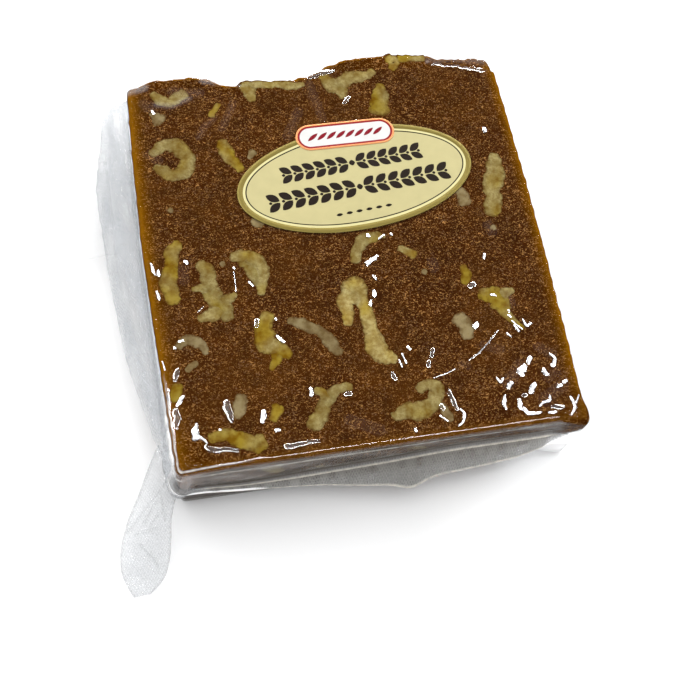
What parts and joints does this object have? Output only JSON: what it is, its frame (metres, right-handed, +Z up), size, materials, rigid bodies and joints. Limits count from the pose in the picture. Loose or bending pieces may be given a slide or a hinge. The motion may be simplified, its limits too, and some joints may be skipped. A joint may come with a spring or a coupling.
{
  "type": "vacuum-packed walnut halva block",
  "caption": "Slab of dark caramel halva with walnut pieces, vacuum-sealed in a clear film pouch with a loose skirt and an oval sticker on top.",
  "frame": {"origin": "the middle of the slab's flat underside, on the surface it lies on", "axes": "+Z up through the slab's thickness, +X along the slab's width, +Y along its depth towards the broken far edge"},
  "size_m": [0.1506, 0.1498, 0.029],
  "materials": {
    "pouch": "clear glossy film drawn tight over dark caramel halva with cream and amber walnut pieces",
    "sticker": "satin coated paper, cream field, olive gold rim"
  },
  "bodies": {
    "root": {"pouch": "pouch", "sticker": "sticker"}
  },
  "joints": []
}
